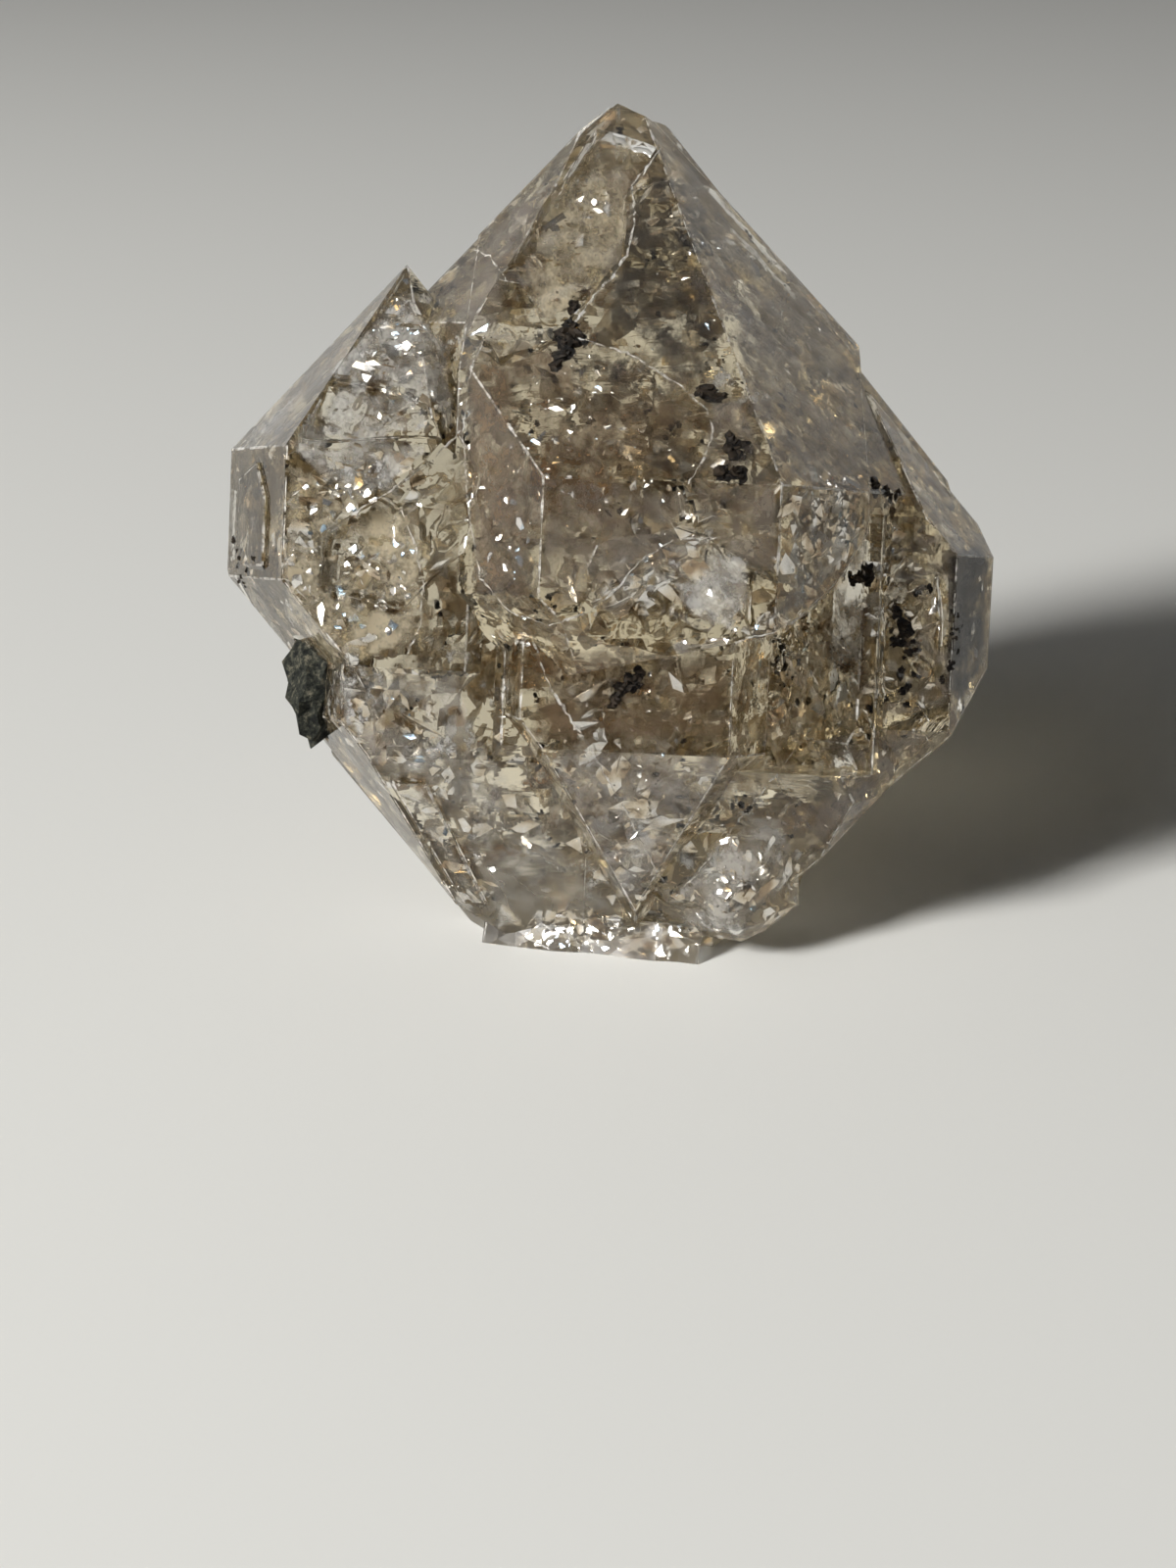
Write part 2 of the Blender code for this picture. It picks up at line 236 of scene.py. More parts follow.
def frost_material():
    """Chipped and worn edges, where the light catches."""
    material, nodes, links, shader = new_material("worn_edge", {"Roughness": 0.35})
    tone = noise_node(nodes, links, 900.0, 5.0, 0.7)
    shade = ramp(nodes, links, tone, [(0.35, (0.62, 0.55, 0.44, 1)), (0.6, (0.95, 0.93, 0.90, 1))])
    links.new(shade, shader.inputs["Base Color"])
    links.new(ramp(nodes, links, tone, [(0.40, 0.0), (0.56, 0.9)]), shader.inputs["Alpha"])
    return material


def glint_material():
    """Cracks that mirror the light: silver, with a little gold and blue where the film is thin."""
    material, nodes, links, shader = new_material("glint", {"Metallic": 1.0, "Roughness": 0.12})
    tone = noise_node(nodes, links, 240.0, 2.0, 0.6)
    shade = ramp(nodes, links, tone, [
        (0.36, (0.62, 0.80, 0.95, 1)), (0.44, (0.95, 0.93, 0.90, 1)), (0.58, (0.97, 0.93, 0.84, 1)),
        (0.66, (1.0, 0.72, 0.36, 1)),
    ])
    links.new(shade, shader.inputs["Base Color"])
    return material


def shard_material(name, alpha, sheet=False):
    """Air films in old cracks, which mirror the paper and the dark room past the critical angle."""
    material, nodes, links, shader = new_material(name, {"Metallic": 1.0, "Roughness": 0.16, "Alpha": alpha})
    tone = noise_node(nodes, links, 330.0, 2.0, 0.6)
    shade = ramp(nodes, links, tone, [
        (0.36, (0.42, 0.30, 0.18, 1)), (0.47, (0.80, 0.70, 0.54, 1)), (0.60, (0.96, 0.94, 0.90, 1)),
    ])
    links.new(shade, shader.inputs["Base Color"])
    links.new(add_bump(nodes, links, tone, 0.5, 0.0004), shader.inputs["Normal"])
    if sheet:
        fade_to_rim(nodes, links, shader)
    return material


def core_material():
    """The deep clouds: mottled brown and grey, thick enough to hide the far side."""
    material, nodes, links, shader = new_material("veil_core", {
        "Roughness": 0.5, "Transmission Weight": 0.45, "IOR": HAZE_IOR,
    })
    tone = noise_node(nodes, links, 420.0, 4.0, 0.8)
    shade = ramp(nodes, links, tone, [
        (0.36, (0.12, 0.08, 0.05, 1)), (0.46, (0.36, 0.28, 0.20, 1)), (0.54, (0.60, 0.53, 0.43, 1)),
        (0.68, (0.95, 0.92, 0.87, 1)),
    ])
    links.new(shade, shader.inputs["Base Color"])
    holes = noise_node(nodes, links, 260.0, 2.0, 0.7)
    fade_to_rim(nodes, links, shader, ramp(nodes, links, holes, [(0.40, 0.0), (0.56, 0.8)]))
    return material


def crust_material():
    """Dolostone crumb: dull green-black with pale grains."""
    material, nodes, links, shader = new_material("crust", {"Roughness": 0.8, "Specular IOR Level": 0.2})
    tone = noise_node(nodes, links, 1300.0, 6.0, 0.75)
    shade = ramp(nodes, links, tone, [
        (0.42, (0.006, 0.007, 0.006, 1)), (0.54, (0.035, 0.037, 0.028, 1)), (0.70, (0.20, 0.18, 0.13, 1)),
    ])
    links.new(shade, shader.inputs["Base Color"])
    links.new(add_bump(nodes, links, tone, 1.0, 0.0006), shader.inputs["Normal"])
    return material


def grain_material():
    """Anthraxolite: coal-black, with a faint brown."""
    material, nodes, links, shader = new_material("anthraxolite", {"Roughness": 0.6, "Specular IOR Level": 0.1})
    tone = noise_node(nodes, links, 900.0, 3.0)
    shade = ramp(nodes, links, tone, [(0.35, (0.006, 0.005, 0.004, 1)), (0.7, (0.035, 0.026, 0.018, 1))])
    links.new(shade, shader.inputs["Base Color"])
    return material


def quartz_surface():
    """The CAD solid as flat crystal faces, with its broken places made finer and uneven."""
    bm = bmesh.new()
    bm.from_mesh(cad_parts["quartz"].data)
    bmesh.ops.remove_doubles(bm, verts=bm.verts, dist=WELD)
    bmesh.ops.dissolve_limit(bm, angle_limit=math.radians(0.6), verts=bm.verts, edges=bm.edges)
    bmesh.ops.recalc_face_normals(bm, faces=bm.faces)
    refine_breaks(bm)
    bmesh.ops.recalc_face_normals(bm, faces=bm.faces)
    return bm


def refine_breaks(bm):
    """Broken places are the small triangles: they are split, smoothed and given a shell-like ripple."""
    largest, cell, foot = 7e-6, 0.45 * MM, 0.3 * MM
    small = {f for f in bm.faces if len(f.verts) == 3 and f.calc_area() < largest}
    broken = {f for f in small if sum(n in small for e in f.edges for n in e.link_faces if n is not f) >= 2}
    for face in bm.faces:
        face.material_index = 1 if face in broken else 0
        face.smooth = False
    for _ in range(6):
        edges = [
            e for e in bm.edges
            if e.calc_length() > cell * 1.5 and any(f.material_index for f in e.link_faces)
        ]
        if not edges:
            break
        bmesh.ops.subdivide_edges(bm, edges=edges, cuts=1)
        bmesh.ops.triangulate(bm, faces=[f for f in bm.faces if len(f.verts) > 3 and f.material_index])
    free = [
        v for v in bm.verts
        if v.link_faces and all(f.material_index for f in v.link_faces) and v.co.z > foot
    ]
    for _ in range(3):
        bmesh.ops.smooth_vert(bm, verts=free, factor=0.5, use_axis_x=True, use_axis_y=True, use_axis_z=True)
    bm.normal_update()
    strike = Vector((3.0, -6.0, 4.0))  # in mm: the ripples run in rings around it
    shifts = []
    for vert in free:
        spot = vert.co / MM
        rings = math.sin((spot - strike).length * 4.2 + 2.0 * noise.noise(spot * 0.3))
        rise = 0.05 * rings + 0.16 * noise.noise(spot * 0.7) + 0.10 * abs(noise.noise(spot * 1.7)) - 0.12
        shifts.append(vert.normal * rise * MM)
    for vert, shift in zip(free, shifts):
        vert.co += shift
        vert.co.z = max(vert.co.z, 0.0)
    mark_surface(bm)


def mark_surface(bm):
    """Keeps on each point how broken and how frosted it is, for the material. Foot and tip are frosted."""
    foot, tip = 5.0, 74.0  # heights in mm where the frost ends and starts
    for face in bm.faces:
        face.smooth = bool(face.material_index)
    broken = bm.verts.layers.float.new("broken")
    frosted = bm.verts.layers.float.new("frosted")
    for vert in bm.verts:
        height = vert.co.z / MM
        low = (foot - height) / 2.5 + 0.8 * noise.noise(vert.co / MM * 0.6)
        vert[frosted] = max(0.0, min(1.0, low), (height - tip) * 0.08)
        marks = [f.material_index for f in vert.link_faces]
        vert[broken] = sum(marks) / max(1, len(marks))
    for face in bm.faces:
        face.material_index = 0


def edges_to_round(bm, left_out):
    """Long crystal edges between large flat faces, away from the points where rounding failed before."""
    broken = bm.verts.layers.float["broken"]
    edges = []
    for edge in bm.edges:
        if len(edge.link_faces) != 2 or edge.calc_length() < 1.5 * MM or any(v[broken] for v in edge.verts):
            continue
        if edge.calc_face_angle(0.0) < math.radians(12) or min(f.calc_area() for f in edge.link_faces) < 2e-6:
            continue
        if min(e.calc_length() for v in edge.verts for e in v.link_edges) < 0.4 * MM:
            continue
        first, last = edge.verts[0].co, edge.verts[1].co
        if not any(near_line(spot, first, last) < 0.6 * MM for spot in left_out):
            edges.append(edge)
    return edges


def folded_points(trial, tree):
    """The points of faces that turned over or moved too far from the surface that was rounded."""
    check = trial.copy()
    bmesh.ops.triangulate(check, faces=check.faces)
    folded = []
    for face in check.faces:
        middle = face.calc_center_median()
        _, normal, _, distance = tree.find_nearest(middle)
        if (face.normal.dot(normal) < 0.3 and face.calc_area() > 1e-9) or distance > 0.25 * MM:
            folded.append(middle)
            folded += [v.co.copy() for v in face.verts]
    check.free()
    return folded


def round_edges(bm):
    """Rounds the long crystal edges a little, apart from those where that would fold a face over."""
    before = bm.copy()
    bmesh.ops.triangulate(before, faces=before.faces)
    tree = BVHTree.FromBMesh(before)
    before.free()
    left_out = []
    for _ in range(6):
        trial = bm.copy()
        bmesh.ops.bevel(trial, geom=edges_to_round(trial, left_out), offset=0.12 * MM, offset_type="OFFSET",
                        segments=2, profile=0.6, affect="EDGES")
        bmesh.ops.remove_doubles(trial, verts=trial.verts, dist=WELD)
        trial.normal_update()
        folded = folded_points(trial, tree)
        if not folded:
            return trial
        left_out += folded
        trial.free()
    return bm


def near_line(spot, first, last):
    along = last - first
    share = max(0.0, min(1.0, (spot - first).dot(along) / along.length_squared))
    return (spot - first - along * share).length


def make_floor():
    bm = bmesh.new()
    bmesh.ops.create_grid(bm, x_segments=1, y_segments=1, size=6.0)
    paper = new_material("paper", {"Base Color": (0.74, 0.74, 0.71, 1.0), "Roughness": 0.9})[0]
    floor = new_piece("floor", bm, paper)
    floor.location.z = -0.02 * MM
    floor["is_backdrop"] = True


def make_world():
    """A dark room with a pale wall behind the cluster."""
    world = bpy.data.worlds.new("world")
    bpy.context.scene.world = world
    world.use_nodes = True
    nodes, links = world.node_tree.nodes, world.node_tree.links
    where = nodes.new("ShaderNodeTexCoord")
    towards = nodes.new("ShaderNodeVectorMath")
    towards.operation = "DOT_PRODUCT"
    towards.inputs[1].default_value = (-0.5, 0.87, 0.0)
    links.new(where.outputs["Generated"], towards.inputs[0])
    shift = nodes.new("ShaderNodeMapRange")
    shift.inputs["From Min"].default_value = -1.0
    links.new(towards.outputs["Value"], shift.inputs["Value"])
    level = ramp(nodes, links, shift.outputs["Result"], [
        (0.0, (0.05, 0.05, 0.052, 1)), (0.5, (0.10, 0.10, 0.10, 1)), (0.75, (0.75, 0.75, 0.73, 1)),
    ])
    links.new(level, nodes["Background"].inputs["Color"])
    world.cycles_visibility.diffuse = False


def refract(way, normal, ratio):
    cos_in = -way.dot(normal)
    under = 1.0 - ratio * ratio * (1.0 - cos_in * cos_in)
    return (way * ratio + normal * (ratio * cos_in - math.sqrt(max(under, 0.0)))).normalized()


class Body:
    """The quartz's own space: what is inside it, and what a photo pixel shows."""

    def __init__(self, bm):
        copy = bm.copy()
        bmesh.ops.triangulate(copy, faces=copy.faces)
        self.tree = BVHTree.FromBMesh(copy)
        self.skin = [([v.co.copy() for v in f.verts], f.normal.copy()) for f in copy.faces]
        self.areas = [f.calc_area() for f in copy.faces]
        copy.free()

    def depth(self, spot):
        """How deep a point lies under the surface, in metres, negative outside."""
        near, normal, _, distance = self.tree.find_nearest(spot)
        height = (spot - near).dot(normal)
        if abs(height) > 0.995 * distance and distance > 0.05 * MM:
            return -math.copysign(distance, height)
        way = Vector((0.31, 0.17, 0.93))
        crossings, start = 0, spot
        while crossings < 20:
            hit = self.tree.ray_cast(start, way)[0]
            if hit is None:
                break
            crossings += 1
            start = hit + way * 1e-6
        return distance if crossings % 2 else -distance

    def seen(self, px, py, depth_mm):
        """What shows at a photo pixel, that far along the ray inside the quartz: the point, the ray's
        way inside, and the normal where it went in."""
        turn = Matrix.Rotation(CAMERA_TILT, 3, "X")
        across = (px - PHOTO_SIZE[0] / 2) / FOCAL_PX
        down = (py - PHOTO_SIZE[1] / 2) / FOCAL_PX
        way = (turn @ Vector((across, -down, -1.0))).normalized()
        hit, normal, _, _ = self.tree.ray_cast(CAMERA_PLACE, way)
        if hit is None:
            return None
        if normal.dot(way) > 0:
            normal = -normal
        inner = refract(way, normal, 1.0 / QUARTZ_IOR)
        reach = self.tree.ray_cast(hit + inner * 1e-5, inner)[3]
        return hit + inner * min(depth_mm * MM, 0.85 * (reach or 1.0)), inner, normal

    def seen_near(self, px, py, wide, high, near, far):
        """A random point that shows near a photo pixel, between two depths in mm."""
        return self.seen(px + rng.gauss(0, wide), py + rng.gauss(0, high), rng.uniform(near, far))

    def under_skin(self, count, least, most):
        """Random points just under the surface, all round, with the surface's normals."""
        for (a, b, c), normal in rng.choices(self.skin, self.areas, k=count):
            u, v = rng.random(), rng.random()
            if u + v > 1:
                u, v = 1 - u, 1 - v
            yield a + (b - a) * u + (c - a) * v - normal * rng.uniform(least, most) * MM, normal

    def random_spot(self, least):
        while True:
            spot = Vector([rng.uniform(lo, hi) for lo, hi in zip(cad_low, cad_high)])
            if self.depth(spot) > least:
                return spot


def axes(normal, spin):
    """Two unit vectors across a normal, turned about it."""
    first = normal.orthogonal().normalized()
    first.rotate(Matrix.Rotation(spin, 3, normal))
    return first, normal.cross(first).normalized()


class Gathered:
    """Gathers many small forms inside the quartz into one mesh."""

    def __init__(self, body, gap=0.0, inward=False):
        """gap is the thickness in mm. inward turns the faces, so that the form is a gap in the quartz."""
        self.body, self.gap, self.inward = body, gap, inward
        self.verts, self.faces, self.fades = [], [], []

    def piece(self, name, material):
        mesh = bpy.data.meshes.new(name)
        mesh.from_pydata([tuple(v) for v in self.verts], [], self.faces)
        mesh.materials.append(material)
        if self.fades:
            fade = mesh.attributes.new("fade", "FLOAT", "POINT")
            fade.data.foreach_set("value", self.fades)
            mesh.shade_smooth()
        for vert in mesh.vertices:
            vert.co.z = max(vert.co.z, 0.0)
        mesh.update()
        piece = bpy.data.objects.new(name, mesh)
        bpy.context.scene.collection.objects.link(piece)
        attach(piece, "root")


class Sheets(Gathered):
    """Thin curved sheets. Each is closed and pinched at its rim."""

    def add(self, centre, normal, spin, size, cell, dish=0.0, ripple=0.3, holes=0.3, margin=0.3, step=0.0):
        """size is (half width, half height) in mm. dish and ripple are heights in mm."""
        seed = Vector((rng.uniform(0, 90), rng.uniform(0, 90), rng.uniform(0, 90)))
        across, along = axes(normal, spin)
        count_u = max(3, int(2 * size[0] / cell))
        count_v = max(3, int(2 * size[1] / cell))
        spots, fades = {}, {}
        for i in range(count_u + 1):
            u = 2 * i / count_u - 1
            for j in range(count_v + 1):
                v = 2 * j / count_v - 1
                reach = math.hypot(u, v)
                edge = 1.0 + 0.35 * noise.noise(Vector((u * 1.3, v * 1.3, 0)) + seed)
                edge += 0.18 * noise.noise(Vector((u * 4.1, v * 4.1, 3)) + seed)
                if reach > 0.82 * edge:
                    continue
                x, y = u * size[0], v * size[1]
                hole = noise.noise(Vector((x * 0.35, y * 0.35, 7)) + seed) + 0.5 - holes
                if hole < 0:
                    continue
                rise = dish * reach * reach
                rise += ripple * noise.noise(Vector((x * 0.18, y * 0.18, 0)) + seed)
                rise += ripple * 0.3 * noise.noise(Vector((x * 0.8, y * 0.8, 5)) + seed)
                if step:
                    rise += step * math.floor(2.5 * noise.noise(Vector((x * 0.12, y * 0.3, 9)) + seed))
                spot = centre + (across * x + along * y + normal * rise) * MM
                room = self.body.depth(spot) / MM - margin
                if room < 0:
                    continue
                spots[i, j] = spot
                fades[i, j] = min(1.0, (0.82 * edge - reach) * 3.0, hole * 6.0, room * 6.0)
        self.weave(spots, dict.fromkeys(spots, normal), fades, 3 * cell + 2)

    def lay(self, corners, strength, depth=0.6, step=5):
        """A sheet that follows the surface, under the area that corners in photo pixels outline."""
        left, top = min(x for x, _ in corners), min(y for _, y in corners)
        right, low = max(x for x, _ in corners), max(y for _, y in corners)
        spots, normals, fades = {}, {}, {}
        for i in range(int((right - left) / step) + 1):
            for j in range(int((low - top) / step) + 1):
                px, py = left + i * step, top + j * step
                room = inside_by(corners, px, py)
                found = self.body.seen(px, py, 0.0) if room > 0 else None
                if found is None:
                    continue
                spot = found[0] - found[2] * depth * MM
                if self.body.depth(spot) > 0.1 * MM:
                    spots[i, j], normals[i, j] = spot, found[2]
                    fades[i, j] = strength * min(1.0, room / 12)
        self.weave(spots, normals, fades, 5.0)

    def weave(self, spots, normals, fades, reach):
        """Closes a grid of points into a thin sheet, apart from cells that jump further than reach in mm."""
        kept = {
            (i, j) for (i, j) in spots
            if (i + 1, j) in spots and (i, j + 1) in spots and (i + 1, j + 1) in spots
            and (spots[i, j] - spots[i + 1, j + 1]).length < reach * MM
            and (spots[i + 1, j] - spots[i, j + 1]).length < reach * MM
        }
        ids = {}
        for i, j in sorted(spots):
            around = [(i, j), (i - 1, j), (i, j - 1), (i - 1, j - 1)]
            whole = all(cell_id in kept for cell_id in around)
            if not any(cell_id in kept for cell_id in around):
                continue
            shift = normals[i, j] * (self.gap * MM / 2)
            top = len(self.verts)
            if whole:
                self.verts.append(spots[i, j] + shift)
                self.verts.append(spots[i, j] - shift)
                self.fades += [fades[i, j]] * 2
                ids[i, j] = (top, top + 1)
            else:
                self.verts.append(spots[i, j])
                self.fades.append(0.0)
                ids[i, j] = (top, top)
        for i, j in sorted(kept):
            ring = [(i, j), (i + 1, j), (i + 1, j + 1), (i, j + 1)]
            tops = [ids[k][0] for k in ring]
            lows = [ids[k][1] for k in ring]
            if tops == lows:
                continue
            if self.inward:
                self.faces.append(tops[::-1])
                self.faces.append(lows)
            else:
                self.faces.append(tops)
                self.faces.append(lows[::-1])


def inside_by(corners, px, py):
    """How far inside an outline a point lies, in pixels, negative outside."""
    inside, nearest = False, 1e9
    for (x0, y0), (x1, y1) in zip(corners, corners[1:] + corners[:1]):
        if (y0 > py) != (y1 > py) and px < x0 + (py - y0) * (x1 - x0) / (y1 - y0):
            inside = not inside
        dx, dy = x1 - x0, y1 - y0
        share = max(0.0, min(1.0, ((px - x0) * dx + (py - y0) * dy) / (dx * dx + dy * dy)))
        nearest = min(nearest, math.hypot(px - x0 - dx * share, py - y0 - dy * share))
    return nearest if inside else -nearest


def mirror_normal(found, target):
    """The way a little mirror at a found point faces, so that it shows the photograph's side what lies
    in the target's direction, outside the quartz."""
    inner, normal = found[1], found[2]
    if target.dot(normal) > 0.05:
        target = -refract(-target, normal, 1.0 / QUARTZ_IOR)
    return (target - inner).normalized()


def random_way():
    while True:
        way = Vector([rng.uniform(-1, 1) for _ in range(3)])
        if 0.1 < way.length < 1:
            return way.normalized()


class Flakes(Gathered):
    """Small flat cracks: each is a thin closed lens, made smaller until it fits inside the quartz."""

    def add(self, centre, normal, size, gap, stretch):
        if self.body.depth(centre) < 0.07 * MM:
            return
        across, along = axes(normal, rng.uniform(0, FULL_TURN))
        count = rng.randint(4, 6)
        first = len(self.verts)
        ways = []
        for index in range(count):
            turn = 2 * math.pi * (index + rng.uniform(-0.25, 0.25)) / count
            out = size * rng.uniform(0.3, 1.25) * MM
            ways.append(across * (math.cos(turn) * out * stretch) + along * (math.sin(turn) * out))
        for shrink in (1.0, 0.55, 0.3, 0.16):
            rim = [centre + way * shrink for way in ways]
            if min(self.body.depth(spot) for spot in rim) > 0.04 * MM:
                break
        else:
            return
        self.verts += rim
        self.verts.append(centre + normal * gap * MM)
        self.verts.append(centre - normal * gap * MM)
        for index in range(count):
            after = (index + 1) % count
            self.faces.append((first + index, first + after, first + count))
            self.faces.append((first + after, first + index, first + count + 1))


class Ribbons(Gathered):
    """Narrow frosted strips just under the surface: worn edges, hairline cracks and ragged lips."""

    def add(self, spots, normals, width, broken):
        """spots are in metres; width is in mm. The strip thins out and stops where the noise is low."""
        seed = Vector((rng.uniform(0, 90), rng.uniform(0, 90), rng.uniform(0, 90)))
        before = None
        for index, (spot, normal) in enumerate(zip(spots, normals)):
            after = spots[min(index + 1, len(spots) - 1)] - spots[max(index - 1, 0)]
            if after.length < 1e-7:
                continue
            side = after.normalized().cross(normal).normalized()
            level = noise.noise(spot / MM * 0.55 + seed) + 0.6 * noise.noise(spot / MM * 1.9 + seed)
            wide = width * (0.55 + 1.1 * level + 0.5 * (1 - broken))
            if wide < 0.12 * width:
                before = None
                continue
            row = len(self.verts)
            self.verts += [spot + side * wide * MM, spot + normal * self.gap * MM]
            self.verts += [spot - side * wide * MM, spot - normal * self.gap * MM]
            if before is not None:
                for step in range(4):
                    other = (step + 1) % 4
                    self.faces.append((before + step, before + other, row + other, row + step))
            before = row

    def drawn(self, points, width, broken):
        """A strip that shows along a line of photo pixels."""
        spots, normals = [], []
        for (x0, y0), (x1, y1) in zip(points, points[1:]):
            count = max(2, int(math.hypot(x1 - x0, y1 - y0) / 4))
            for index in range(count):
                share = index / count
                px = x0 + (x1 - x0) * share + rng.gauss(0, 0.6)
                py = y0 + (y1 - y0) * share + rng.gauss(0, 0.6)
                found = self.body.seen(px, py, 0.12)
                if found is not None:
                    spots.append(found[0])
                    normals.append(found[2])
        self.add(spots, normals, width, broken)


def tilted(way, least, most):
    """A unit vector that leans away from another by an angle in degrees."""
    side = axes(way, rng.uniform(0, FULL_TURN))[0]
    lean = math.radians(rng.uniform(least, most))
    return (way * math.cos(lean) + side * math.sin(lean)).normalized()


scene = bpy.context.scene
scene.cycles.max_bounces = 10
scene.cycles.transmission_bounces = 10
scene.cycles.glossy_bounces = 5
scene.cycles.diffuse_bounces = 2
scene.cycles.transparent_max_bounces = 20
scene.view_settings.view_transform = "Standard"

make_camera()
make_world()
make_floor()
area_light("key", *KEY)
area_light("key_soft", *KEY_SOFT)

# The quartz, and the crumb of host rock in its notch.
surface = quartz_surface()
body = Body(surface)
edge_lines = [
    ([v.co.copy() for v in e.verts], (e.link_faces[0].normal + e.link_faces[1].normal).normalized())
    for e in surface.edges
    if len(e.link_faces) == 2 and e.calc_length() > 2.0 * MM and e.calc_face_angle(0.0) > math.radians(14)
    and e.is_convex and min(f.calc_area() for f in e.link_faces) > 0.3e-6
]
quartz = new_piece("quartz_cluster", round_edges(surface), quartz_material())
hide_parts("quartz")
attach(quartz, "root")
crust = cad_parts["matrix_crust"]
crust.data.materials.clear()
crust.data.materials.append(crust_material())

# Air films in old cracks, all through the quartz.
cracks = Sheets(body, 0.05, inward=True)
for _ in range(46):
    spot = body.random_spot(1.0 * MM)
    cracks.add(spot, random_way(), rng.uniform(0, FULL_TURN), (rng.uniform(3, 9), rng.uniform(2, 6)), 0.55,
               dish=rng.uniform(-1, 1), ripple=1.0, holes=0.4, step=0.25)
cracks.piece("fractures", fracture_material())

# Sparkles: clusters of little cracks all through the quartz, and single ones under its whole surface.
flakes = Flakes(body)
for _ in range(260):
    middle = body.random_spot(0.5 * MM)
    facing = random_way()
    across, along = axes(facing, rng.uniform(0, FULL_TURN))
    wide, tall = rng.uniform(1, 6), rng.uniform(0.6, 3)
    for _ in range(rng.randint(4, 20)):
        away = across * rng.gauss(0, wide) + along * rng.gauss(0, tall) + facing * rng.gauss(0, 0.3)
        flakes.add(middle + away * MM, tilted(facing, 0, 30), 2.2 * rng.uniform(0.25, 1.0) ** 2.2, 0.02,
                   rng.uniform(0.3, 2.2))
for spot, normal in body.under_skin(2600, 0.12, 0.6):
    flakes.add(spot, tilted(normal, 5, 60), 0.9 * rng.uniform(0.15, 1.0) ** 2, 0.015, rng.uniform(0.3, 2.5))

# Glints: little cracks that stand so that they mirror the key light to the show side. (x, y),
# (half width, half height) in photo pixels, how many, and their half size in mm.
GLINTS = (
    ((605, 208), (14, 16), 10, 0.55), ((420, 330), (45, 40), 34, 0.45), ((425, 392), (40, 28), 22, 0.45),
    ((845, 505), (26, 26), 40, 0.7), ((868, 540), (14, 22), 30, 0.7), ((820, 580), (20, 20), 20, 0.5),
    ((345, 505), (40, 14), 30, 0.5), ((310, 580), (20, 50), 20, 0.4), ((532, 650), (18, 10), 8, 0.5),
    ((560, 430), (28, 60), 30, 0.35), ((600, 400), (60, 50), 26, 0.3), ((515, 560), (18, 40), 16, 0.4),
    ((370, 560), (45, 60), 34, 0.5), ((360, 620), (40, 40), 22, 0.45), ((410, 610), (14, 40), 14, 0.4),
    ((640, 500), (90, 70), 30, 0.25), ((620, 760), (60, 50), 22, 0.25), ((640, 830), (40, 50), 22, 0.35),
    ((918, 420), (16, 18), 14, 0.4), ((825, 340), (16, 16), 8, 0.35), ((905, 560), (14, 50), 16, 0.35),
    ((745, 905), (50, 45), 30, 0.35), ((620, 955), (110, 20), 90, 0.45), ((430, 760), (60, 60), 20, 0.3),
    ((800, 690), (30, 60), 20, 0.3), ((720, 260), (40, 60), 14, 0.2), ((760, 330), (60, 90), 16, 0.2),
    ((690, 540), (60, 30), 16, 0.3), ((480, 470), (14, 80), 20, 0.3), ((470, 900), (30, 40), 16, 0.4),
)
glints = Flakes(body)
key_way = (bpy.data.objects["key"].location - MIDDLE).normalized()
for (px, py), (wide, high), count, size in GLINTS:
    for _ in range(count):
        found = body.seen_near(px, py, wide * 0.6, high * 0.6, 0.15, 0.8)
        if found is not None:
            glints.add(found[0], tilted(mirror_normal(found, key_way), 0, 12),
                       1.3 * size * rng.uniform(0.25, 1.0) ** 1.3, 0.01, rng.uniform(0.3, 2.5))
glints.piece("glints", glint_material())

# Bright places: cracks that mirror the lit paper in front. Same columns as above.
PAPER = (
    ((590, 250), (22, 60), 40, 0.9), ((845, 530), (28, 45), 130, 1.0), ((800, 635), (40, 14), 40, 0.7),
    ((640, 600), (50, 20), 20, 0.7), ((690, 580), (45, 35), 40, 0.8), ((340, 730), (50, 60), 70, 0.9),
    ((400, 740), (60, 60), 40, 0.8), ((620, 955), (120, 20), 160, 0.8), ((320, 600), (60, 90), 90, 1.0),
    ((350, 480), (60, 60), 60, 1.0), ((410, 370), (45, 70), 60, 0.9), ((745, 905), (50, 50), 60, 0.8),
    ((910, 600), (30, 60), 40, 0.7), ((800, 360), (50, 100), 24, 0.7), ((470, 850), (50, 60), 30, 0.8),
    ((640, 420), (50, 50), 24, 0.7), ((880, 760), (60, 40), 24, 0.7), ((640, 845), (30, 55), 50, 0.9),
    ((600, 205), (18, 20), 16, 0.8), ((500, 240), (50, 40), 20, 0.7), ((600, 740), (50, 40), 24, 0.6),
)


def paper_way(px):
    """The way to the paper in front, on the side where the least quartz is in between."""
    return Vector((max(-0.5, min(0.4, (px - 600) / 500)), -0.5, -0.8)).normalized()


paper = Flakes(body)
for (px, py), (wide, high), count, size in PAPER:
    for _ in range(count):
        found = body.seen_near(px, py, wide * 0.6, high * 0.6, 0.15, 1.2)
        if found is not None:
            paper.add(found[0], tilted(mirror_normal(found, paper_way(px)), 0, 14),
                      size * rng.uniform(0.3, 1.0) ** 1.5 * 1.6, 0.02, rng.uniform(0.25, 2.5))
paper.piece("bright_cracks", shard_material("bright_crack", 0.8))
flakes.piece("sparkles", shard_material("shard", 0.6))

